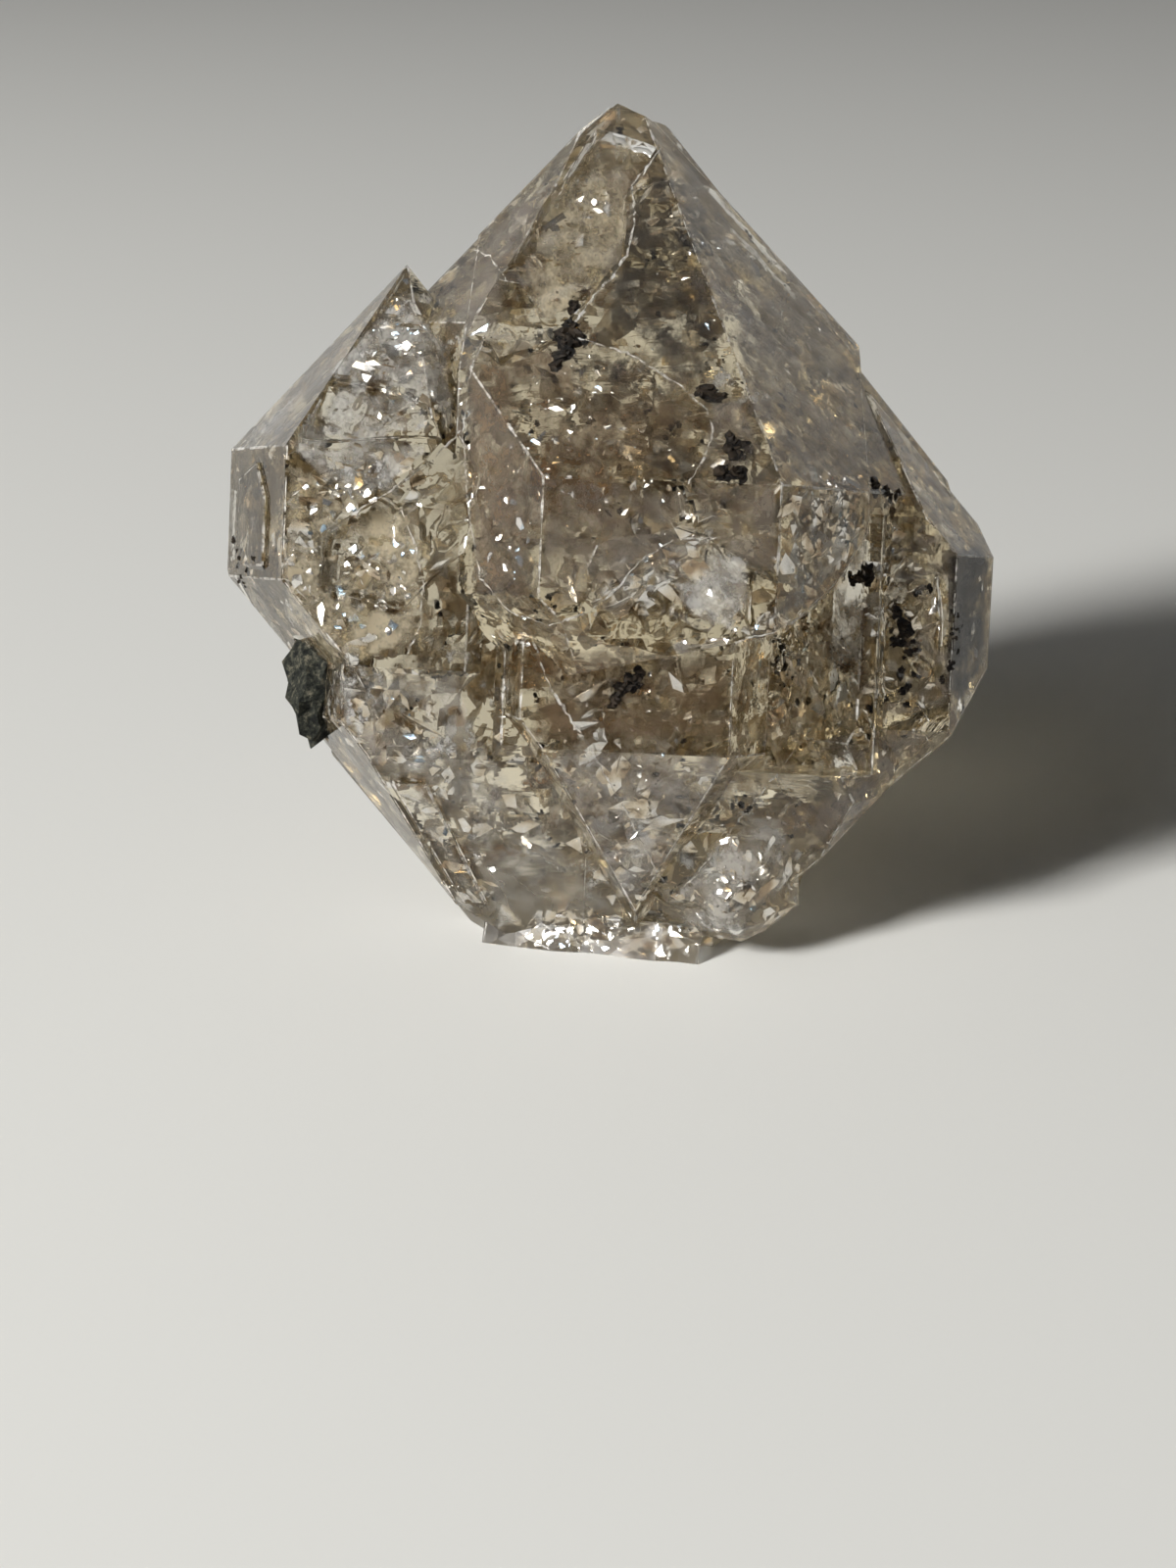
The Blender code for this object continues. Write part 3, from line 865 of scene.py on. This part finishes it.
# Worn edges, apart from those that lie level on the show side, then hairline cracks: half width in mm
# before it is thinned, and a line in photo pixels.
ribbons = Ribbons(body, 0.03)
for (first, last), normal in edge_lines:
    count = max(3, int((last - first).length / (0.4 * MM)))
    if abs((last - first).normalized().z) < 0.35 and normal.y < -0.6:
        continue
    spots = [first + (last - first) * (k / count) - normal * 0.22 * MM for k in range(count + 1)]
    ribbons.add(spots, [normal] * len(spots), 0.09, 0.8)
SEAMS = (
    (0.3, ((675, 150), (660, 170), (645, 190), (648, 225), (640, 260), (622, 285), (606, 302), (590, 325),
        (575, 345))),
    (0.22, ((590, 345), (640, 360), (690, 390), (722, 418), (728, 440), (718, 470), (700, 497))),
    (0.25, ((470, 440), (440, 470), (400, 500), (360, 525), (330, 548))),
    (0.2, ((560, 638), (600, 625), (630, 600), (655, 570), (690, 550), (740, 548))),
    (0.22, ((410, 520), (425, 560), (432, 600), (428, 640), (415, 670))),
    (0.2, ((500, 330), (480, 380), (472, 440), (478, 520), (490, 590), (520, 625), (560, 638))),
    (0.22, ((750, 655), (790, 645), (825, 625), (850, 600), (872, 570), (885, 545))),
    (0.2, ((545, 655), (560, 700), (600, 760), (640, 830), (670, 890), (690, 915))),
    (0.2, ((690, 915), (720, 880), (760, 830), (800, 780), (830, 740))),
    (0.18, ((440, 200), (455, 230), (475, 250), (500, 262), (520, 290))),
)
for width, line in SEAMS:
    ribbons.drawn(line, width * 0.4, 0.5)
ribbons.piece("worn_edges", frost_material())

# Broad curved cracks that shine like silver along one side: a photo pixel, and a half size in mm.
SILVER = (
    (845, 520, 3.0), (850, 570, 2.6), (690, 585, 4.0), (620, 600, 4.0), (345, 500, 4.5), (330, 600, 4.5),
    (410, 350, 4.0), (590, 240, 3.0), (640, 400, 4.5), (700, 450, 4.0), (420, 620, 3.0), (340, 730, 4.5),
    (440, 800, 5.0), (632, 845, 4.0), (745, 905, 3.5), (600, 700, 4.0), (900, 620, 3.5), (800, 350, 5.0),
    (560, 950, 3.0), (680, 955, 3.0), (500, 250, 3.5),
)
silver = Sheets(body, 0.04)
for px, py, half in SILVER:
    for _ in range(2):
        found = body.seen_near(px, py, 12, 12, 0.5, 3.0)
        if found is not None:
            silver.add(found[0], tilted(mirror_normal(found, paper_way(px)), 5, 35),
                       rng.uniform(0, FULL_TURN), (half, half * rng.uniform(0.4, 0.9)), 0.4,
                       dish=rng.uniform(-1.5, 1.5), ripple=0.9, holes=0.3, margin=0.1, step=0.12)
silver.piece("silver_cracks", shard_material("silver_crack", 0.55, True))

# The deep clouds that hide the far side.
core = Sheets(body, 0.05)
for _ in range(16):
    spot = body.random_spot(5.0 * MM)
    facing = Vector((rng.uniform(-0.6, 0.6), -1.0, rng.uniform(-0.2, 0.8))).normalized()
    core.add(spot, facing, rng.uniform(0, FULL_TURN), (rng.uniform(9, 17), rng.uniform(7, 13)), 1.5,
             dish=rng.uniform(-4, 4), ripple=3.0, holes=0.1, margin=2.5)
core.piece("veil_core", core_material())

# The haze under the faces that the photo shows: tone, how strong, and an outline in photo pixels. One
# that is stronger than 1 is laid in layers. The darkest tone, laid strongly down the right side, is
# painted shade, and the pale band down the left slope is a painted reflection.
FACES = (
    ("cream", 0.7, [(595, 135), (650, 145), (645, 185), (644, 220), (640, 250), (620, 285), (590, 315),
        (555, 335), (540, 310), (530, 280), (540, 235), (560, 195), (580, 160)]),
    ("dark_and_painted_shade", 0.6, [(675, 165), (735, 320), (740, 370), (730, 390), (690, 390), (640, 340), (605, 315),
        (635, 260), (645, 195)]),
    ("taupe", 0.45, [(680, 155), (760, 185), (860, 340), (910, 420), (930, 460), (880, 490), (805, 490),
        (760, 390), (735, 320), (695, 210)]),
    # Painted reflection: a pale haze down the left outer slope, for the light wall seen through it and in it.
    ("pale_and_painted_reflection", 0.5, [(410, 275), (330, 370), (285, 450), (235, 450), (330, 350), (405, 270)]),
    ("white", 0.55, [(410, 285), (460, 350), (470, 430), (410, 495), (360, 520), (290, 460), (335, 370)]),
    ("cream", 0.7, [(290, 465), (395, 510), (430, 520), (435, 600), (425, 660), (335, 690), (285, 630)]),
    ("brown", 0.7, [(470, 360), (520, 360), (540, 470), (540, 620), (480, 610), (470, 470)]),
    ("brown", 0.28, [(510, 340), (600, 350), (725, 420), (710, 495), (550, 470)]),
    ("taupe", 0.5, [(725, 400), (760, 400), (800, 490), (800, 600), (710, 550), (700, 500)]),
    ("taupe", 0.4, [(545, 475), (705, 500), (710, 550), (640, 610), (560, 630), (545, 600)]),
    ("white", 0.5, [(675, 550), (740, 550), (770, 570), (765, 620), (750, 650), (710, 640), (660, 580)]),
    ("white", 0.4, [(805, 495), (885, 495), (885, 555), (850, 610), (800, 645), (750, 655), (800, 600)]),
    ("brown", 0.75, [(855, 610), (895, 600), (890, 740), (850, 695), (800, 645)]),
    ("taupe", 0.45, [(905, 545), (985, 535), (1010, 595), (990, 720), (900, 740), (895, 600)]),
    # Painted shade: a strong dark haze down the right side, where the shadow behind darkens the quartz.
    ("dark_and_painted_shade", 2.0, [(968, 560), (1015, 545), (1020, 620), (1015, 720), (968, 720)]),
    ("brown", 0.45, [(535, 660), (750, 660), (750, 760), (540, 760)]),
    ("white", 0.22, [(330, 695), (470, 685), (490, 745), (560, 845), (640, 935), (490, 940), (410, 830),
        (340, 735)]),
    ("pale_and_painted_reflection", 0.3, [(550, 770), (790, 765), (650, 930), (625, 915)]),
    ("white", 0.38, [(760, 830), (800, 830), (820, 880), (810, 910), (755, 965), (660, 940), (685, 905)]),
    ("taupe", 0.55, [(885, 745), (960, 745), (820, 890), (815, 850)]),
    ("taupe", 0.4, [(440, 280), (530, 195), (560, 195), (530, 270), (510, 340), (470, 350)]),
)
FACE_TONES = {
    "white": (0.93, 0.92, 0.89, 1), "pale_and_painted_reflection": (0.72, 0.70, 0.70, 1), "cream": (0.88, 0.78, 0.58, 1),
    "taupe": (0.38, 0.33, 0.28, 1), "brown": (0.27, 0.18, 0.10, 1), "dark_and_painted_shade": (0.05, 0.042, 0.035, 1),
}
FACE_MASK = (260.0, (1.0, 0.45, 1.0), (25, 35, 50), 0.34, 0.62, 1.0)
for tone, colour in FACE_TONES.items():
    sheets = Sheets(body, 0.04)
    for kind, strength, outline in FACES:
        layers = math.ceil(strength) if kind == tone else 0
        for layer in range(layers):
            sheets.lay(outline, strength / layers, 0.6 + 0.5 * layer)
    sheets.piece("face_haze_" + tone, veil_material("face_haze_" + tone, colour, FACE_MASK, 0.3))

# Veils. A mask is a noise scale, stretch and turn, the levels where the haze starts and is full, and
# its alpha there. A kind has a colour, a mask, how clear it is, and how many stray sheets it gets.
FEATHER = (520.0, (1.0, 0.3, 1.0), (20, 35, 40), 0.50, 0.60, 0.9)
CLOUD = (360.0, (1.0, 0.6, 1.0), (10, 60, 20), 0.48, 0.60, 0.8)
KINDS = {
    "white": ((0.86, 0.85, 0.83, 1), FEATHER, 0.3, 14),
    "cream": ((0.80, 0.68, 0.45, 1), CLOUD, 0.5, 8),
    "brown": ((0.30, 0.17, 0.07, 1), CLOUD, 0.5, 12),
    "taupe": ((0.36, 0.30, 0.25, 1), CLOUD, 0.5, 7),
    "dark": ((0.05, 0.04, 0.035, 1), CLOUD, 0.2, 6),
}
# Where the photo shows each kind: (x, y) and (half width, half height) in photo pixels, how many
# sheets, their half size in mm, and how far under the surface they lie, in mm.
CLOUDS = {
    "white": (
        ((845, 500), (25, 15), 5, 2.2, (0.2, 0.9)), ((850, 560), (25, 25), 5, 2.0, (0.2, 0.9)),
        ((410, 340), (40, 40), 5, 2.6, (0.2, 1)), ((345, 500), (40, 20), 4, 3.0, (0.2, 1)),
        ((340, 580), (60, 40), 5, 3.0, (0.2, 1)), ((340, 730), (45, 40), 7, 3.0, (0.2, 1)),
        ((420, 780), (50, 60), 4, 3.0, (0.2, 1)), ((690, 580), (35, 30), 5, 2.6, (0.2, 1)),
        ((745, 905), (45, 40), 5, 2.4, (0.2, 1)), ((605, 210), (15, 20), 3, 1.6, (0.2, 0.8)),
        ((590, 270), (18, 30), 3, 2.0, (0.2, 0.8)), ((632, 845), (25, 40), 5, 2.4, (0.2, 1)),
        ((910, 600), (20, 50), 3, 2.0, (0.2, 0.9)), ((800, 320), (50, 90), 3, 3.5, (0.2, 1)),
        ((830, 790), (70, 40), 3, 3.0, (0.2, 1)), ((845, 530), (30, 40), 5, 3.0, (0.4, 3)),
        ((590, 250), (25, 50), 3, 2.5, (0.4, 2)), ((420, 340), (45, 45), 4, 3.0, (0.6, 3)),
        ((330, 600), (60, 60), 4, 4.0, (0.6, 4)), ((340, 730), (40, 50), 5, 4.0, (0.6, 4)),
        ((620, 955), (110, 18), 8, 3.0, (0.4, 3)), ((690, 580), (40, 35), 5, 4.0, (1.5, 5)),
        ((632, 845), (35, 55), 5, 5.0, (1.0, 5)), ((750, 910), (50, 50), 4, 4.0, (0.5, 3)),
        ((600, 210), (20, 30), 2, 2.0, (0.5, 2)), ((420, 350), (50, 50), 4, 3.0, (0.8, 4)),
        ((845, 520), (30, 30), 3, 2.2, (0.5, 3)), ((400, 720), (70, 60), 5, 6.0, (1.0, 6)),
        ((910, 600), (30, 60), 3, 3.0, (0.8, 4)), ((800, 330), (60, 90), 3, 7.0, (1.0, 5)),
        ((620, 955), (100, 20), 5, 3.0, (0.5, 3)),
    ),
    "cream": (
        ((330, 540), (60, 50), 7, 3.2, (0.2, 1)), ((590, 300), (20, 25), 4, 2.2, (0.2, 0.9)),
        ((600, 240), (20, 40), 5, 2.2, (0.2, 0.9)), ((320, 650), (50, 35), 6, 3.0, (0.2, 1)),
        ((425, 610), (12, 50), 4, 2.0, (0.2, 0.9)), ((470, 280), (40, 40), 4, 2.4, (0.2, 1)),
        ((590, 240), (25, 60), 5, 3.5, (0.5, 3)), ((340, 540), (60, 80), 5, 5.0, (0.6, 4)),
        ((320, 600), (60, 70), 7, 5.0, (1.0, 7)), ((340, 500), (50, 50), 4, 4.0, (0.8, 4)),
        ((640, 420), (40, 40), 3, 4.0, (1, 5)),
    ),
    "brown": (
        ((510, 480), (15, 60), 6, 2.4, (0.3, 1)), ((620, 720), (50, 50), 6, 3.0, (0.3, 1)),
        ((870, 800), (60, 50), 4, 3.0, (0.3, 1)), ((535, 380), (20, 60), 4, 2.4, (0.3, 1)),
        ((600, 480), (40, 50), 4, 3.0, (0.3, 1)), ((870, 650), (14, 50), 3, 2.2, (0.2, 0.9)),
        ((560, 320), (18, 30), 3, 2.0, (0.2, 0.9)), ((565, 290), (35, 60), 6, 4.0, (0.6, 4)),
        ((535, 450), (25, 90), 6, 4.0, (0.6, 5)), ((580, 720), (50, 60), 6, 5.0, (1.0, 6)),
        ((620, 520), (50, 60), 4, 5.0, (1.0, 6)), ((865, 665), (20, 60), 3, 4.0, (0.6, 3)),
        ((480, 250), (30, 40), 3, 4.0, (0.6, 4)),
    ),
    "taupe": (
        ((800, 300), (60, 110), 8, 4.5, (0.4, 1)), ((850, 800), (70, 40), 4, 4.5, (0.4, 1)),
        ((255, 520), (12, 60), 3, 3.0, (0.4, 1)), ((720, 330), (60, 90), 5, 7.0, (1.5, 8)),
        ((450, 850), (60, 60), 4, 6.0, (1, 6)), ((850, 800), (60, 60), 4, 6.0, (1, 6)),
    ),
    # The dark veils at (1000, 620) and (960, 640) are painted shade down the right side.
    "dark": (
        ((700, 250), (25, 40), 5, 2.4, (0.3, 1)), ((688, 190), (10, 20), 3, 2.0, (0.3, 1)),
        ((1000, 620), (5, 60), 5, 2.2, (0.15, 0.6)), ((700, 230), (22, 60), 9, 3.5, (0.8, 4)),
        ((1000, 620), (8, 60), 7, 3.0, (0.5, 2)), ((865, 650), (20, 50), 3, 3.0, (0.8, 3)),
        ((740, 430), (40, 60), 3, 4.0, (1.5, 6)), ((660, 900), (40, 30), 2, 4.0, (2, 6)),
        ((960, 640), (20, 60), 2, 3.0, (1, 3)),
    ),
}
for kind, (colour, mask, clear, strays) in KINDS.items():
    sheets = Sheets(body, 0.04)
    for (px, py), (wide, high), count, half, (near, far) in CLOUDS[kind]:
        for _ in range(count):
            found = body.seen(px + rng.uniform(-wide, wide), py + rng.uniform(-high, high),
                              rng.uniform(near, far))
            if found is None:
                continue
            spot, inner, normal = found
            if far <= 1.0:
                sheets.add(spot, tilted(normal, 0, 8), rng.uniform(0, FULL_TURN),
                           (half, half * rng.uniform(0.6, 1.0)), 0.5, ripple=0.3, holes=0.2, margin=0.1)
            else:
                sheets.add(spot, tilted(-inner, 10, 50), rng.uniform(0, FULL_TURN),
                           (half, half * rng.uniform(0.5, 0.9)), 0.6, dish=rng.uniform(-1, 1), ripple=1.0,
                           holes=0.25)
    for _ in range(strays):
        spot = body.random_spot(1.0 * MM)
        sheets.add(spot, random_way(), rng.uniform(0, FULL_TURN), (rng.uniform(4, 11), rng.uniform(3, 7)),
                   0.9, dish=rng.uniform(-2, 2), ripple=1.5, holes=0.25)
    sheets.piece("veil_" + kind, veil_material("veil_" + kind, colour, mask, clear))


class Grains:
    """Gathers small uneven lumps into one mesh."""

    def __init__(self, body):
        self.body = body
        self.bm = bmesh.new()

    def add(self, spot, size, stretch):
        if self.body.depth(spot) < size * 0.3 * MM:
            return
        made = bmesh.ops.create_icosphere(self.bm, subdivisions=2, radius=1.0)["verts"]
        seed = Vector((rng.uniform(0, 50), rng.uniform(0, 50), rng.uniform(0, 50)))
        turn = random_way().to_track_quat("X", "Z")
        for vert in made:
            grow = 1.0 + 0.9 * noise.noise(vert.co * 1.6 + seed) + 0.4 * noise.noise(vert.co * 4 + seed)
            place = Vector((vert.co.x * stretch, vert.co.y, vert.co.z * 0.8)) * grow * size * MM
            place.rotate(turn)
            vert.co = spot + place
            vert.co.z = max(vert.co.z, 0.0)

    def piece(self, name, material):
        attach(new_piece(name, self.bm, material), "root")


# Black grains, as the photo shows them: groups of (x, y, half width in mm) in photo pixels.
GRAINS = (
    ((588, 310, 0.35), (585, 320, 0.45), (580, 330, 0.5), (577, 341, 0.6), (578, 352, 0.85), (574, 361, 0.8),
        (569, 373, 0.6), (583, 345, 0.6)),
    ((653, 687, 0.4), (648, 693, 0.45), (652, 698, 0.35), (641, 699, 0.5), (634, 702, 0.45), (630, 710, 0.5),
        (626, 719, 0.4), (640, 691, 0.35)),
    ((716, 400, 0.5), (724, 402, 0.7), (733, 404, 0.4)), ((746, 448, 0.6), (749, 458, 0.7), (758, 452, 0.3)),
    ((742, 484, 0.7), (752, 480, 0.7), (760, 486, 0.4), (735, 478, 0.3)), ((758, 818, 0.35), (763, 824, 0.3)),
    ((790, 655, 0.25), (796, 662, 0.3), (792, 671, 0.25), (803, 668, 0.2), (799, 682, 0.3), (806, 690, 0.2),
        (797, 697, 0.2)),
    ((872, 590, 0.55), (880, 588, 0.7), (887, 592, 0.4)),
    ((917, 625, 0.4), (921, 640, 0.5), (917, 655, 0.4), (924, 668, 0.35), (929, 650, 0.4), (935, 662, 0.3),
        (920, 690, 0.45), (926, 705, 0.35), (933, 690, 0.3)),
    ((975, 626, 0.3), (978, 640, 0.3), (972, 652, 0.25), (976, 665, 0.3), (970, 680, 0.3), (964, 692, 0.25),
        (938, 604, 0.2), (950, 600, 0.25)),
    ((240, 548, 0.3), (246, 560, 0.35), (243, 574, 0.4), (252, 583, 0.3), (247, 596, 0.3), (258, 570, 0.25),
        (240, 590, 0.25)),
    ((893, 497, 0.6), (903, 499, 0.5), (912, 505, 0.35)),
)
grains = Grains(body)
for group in GRAINS:
    for px, py, size in group:
        for _ in range(3):
            x, y = px + rng.gauss(0, 2.5), py + rng.gauss(0, 2.5)
            found = body.seen(x, y, 0.05 + size * rng.uniform(0.4, 0.8))
            if found is not None:
                grains.add(found[0], size * rng.uniform(0.6, 1.1), rng.uniform(1.0, 1.6))
for _ in range(260):
    middle = body.random_spot(1.0 * MM)
    for _ in range(rng.randint(1, 4)):
        away = random_way() * rng.uniform(0, 1.2) * MM
        grains.add(middle + away, rng.uniform(0.06, 0.28), rng.uniform(1, 2))
grains.piece("black_grains", grain_material())

low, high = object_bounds()
{"cad": [list(cad_low), list(cad_high)], "visual": [list(low), list(high)]}
